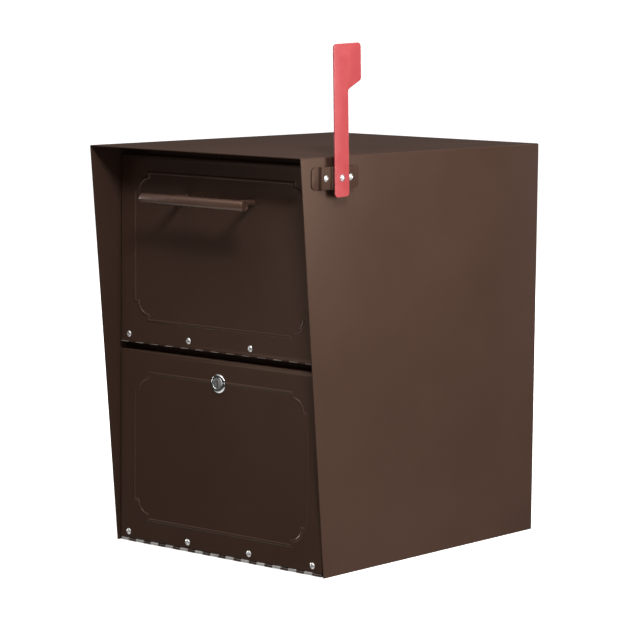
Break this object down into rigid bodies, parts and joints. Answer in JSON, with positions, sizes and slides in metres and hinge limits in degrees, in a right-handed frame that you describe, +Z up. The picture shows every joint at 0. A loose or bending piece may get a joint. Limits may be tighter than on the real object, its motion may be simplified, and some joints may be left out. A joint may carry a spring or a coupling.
{
  "type": "locking parcel mailbox",
  "caption": "Sheet-metal locking parcel mailbox: sloped visor, pull-down hopper door with bar handle, keyed drop-down door below, red signal flag on the side.",
  "frame": {"origin": "centre of the underside of the floor panel, at the middle of the four base mounting holes", "axes": "+X to the right seen from the front, +Y from the doors to the back, +Z up"},
  "size_m": [0.3577, 0.4674, 0.632],
  "materials": {
    "cabinet_coat": "satin dark bronze powder coat",
    "door_coat": "satin dark bronze powder coat",
    "handle_coat": "semi-gloss dark bronze powder coat",
    "hinge_steel": "bright zinc",
    "rivet_steel": "satin",
    "zinc_steel": "zinc plated",
    "lock_chrome": "polished",
    "plug_nickel": "satin nickel",
    "bumper_rubber": "matt",
    "washer_nylon": "matt",
    "flag_red": "satin red"
  },
  "bodies": {
    "housing": {"wrapper": "cabinet_coat", "back_panel": "cabinet_coat", "floor_panel": "cabinet_coat", "centre_rail": "cabinet_coat", "header_rail": "cabinet_coat", "lower_left_jamb": "cabinet_coat", "lower_right_jamb": "cabinet_coat", "upper_left_jamb": "cabinet_coat", "upper_right_jamb": "cabinet_coat", "door_bumpers": "bumper_rubber", "baffle_plate": "cabinet_coat", "lower_hinge_fixed_leaf": "hinge_steel", "lower_hinge_pin": "hinge_steel", "upper_hinge_fixed_leaf": "hinge_steel", "upper_hinge_pin": "hinge_steel", "rail_rivets": "rivet_steel", "flag_bracket": "cabinet_coat", "bracket_spacers": "zinc_steel", "bracket_rivets": "rivet_steel", "flag_pivot_pin": "rivet_steel", "flag_washer": "washer_nylon"},
    "hopper_door": {"hopper_door_panel": "door_coat", "upper_hinge_door_leaf": "door_coat", "hopper_rivets": "rivet_steel", "handle_bar": "handle_coat", "handle_end_caps": "handle_coat", "handle_posts": "handle_coat", "handle_screws": "zinc_steel", "hopper_tray": "cabinet_coat", "left_cheek": "cabinet_coat", "right_cheek": "cabinet_coat"},
    "locker_door": {"locker_door_panel": "door_coat", "lower_hinge_door_leaf": "door_coat", "locker_rivets": "rivet_steel", "lock_body": "lock_chrome", "lock_nut": "zinc_steel"},
    "lock_core": {"lock_plug": "plug_nickel", "lock_cam": "zinc_steel", "cam_screw": "zinc_steel"},
    "signal_flag": {"flag": "flag_red"}
  },
  "joints": [
    {"name": "hopper_hinge", "type": "hinge", "parent": "housing", "child": "hopper_door", "pos_m": [0, -0.2031, 0.256], "axis": [1, 0, 0], "range_deg": [0, 55]},
    {"name": "locker_hinge", "type": "hinge", "parent": "housing", "child": "locker_door", "pos_m": [0, -0.2051, 0.0026], "axis": [1, 0, 0], "range_deg": [0, 80]},
    {"name": "lock_turn", "type": "hinge", "parent": "locker_door", "child": "lock_core", "pos_m": [0, -0.20675, 0.216], "axis": [0, -1, 0], "range_deg": [0, 90]},
    {"name": "flag_pivot", "type": "hinge", "parent": "housing", "child": "signal_flag", "pos_m": [0.18185, -0.19595, 0.4754], "axis": [-1, 0, 0], "range_deg": [0, 90]}
  ]
}
